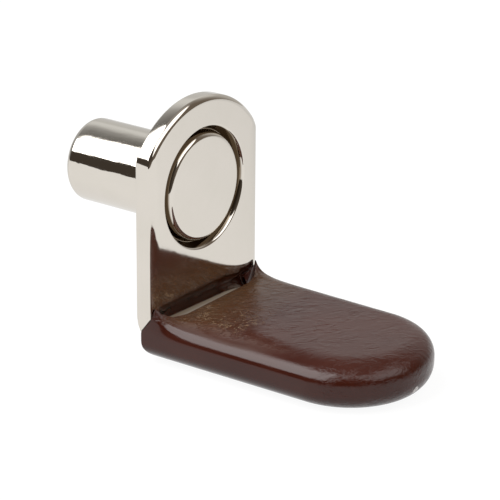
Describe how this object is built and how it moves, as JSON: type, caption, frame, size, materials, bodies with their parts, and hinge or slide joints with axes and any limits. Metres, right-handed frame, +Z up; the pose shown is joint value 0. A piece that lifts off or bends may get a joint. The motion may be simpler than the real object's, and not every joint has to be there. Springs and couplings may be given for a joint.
{
  "type": "shelf support pin",
  "caption": "L-shaped shelf support: a round pin pushes into a hole in the cabinet side, and a soft-sleeved steel arm carries the shelf.",
  "frame": {"origin": "the pin's axis at the back face of the plate, which seats against the cabinet side", "axes": "+X along the arm, into the cabinet; the pin points along -X; +Y across the width; +Z up"},
  "size_m": [0.0237, 0.01, 0.0148],
  "materials": {
    "bracket": "bright nickel plate on bent steel",
    "pin": "bright nickel plate on turned steel",
    "vinyl_sleeve": "satin soft vinyl, lightly wrinkled"
  },
  "bodies": {
    "root": {"bracket": "bracket", "pin": "pin", "vinyl_sleeve": "vinyl_sleeve"}
  },
  "joints": []
}
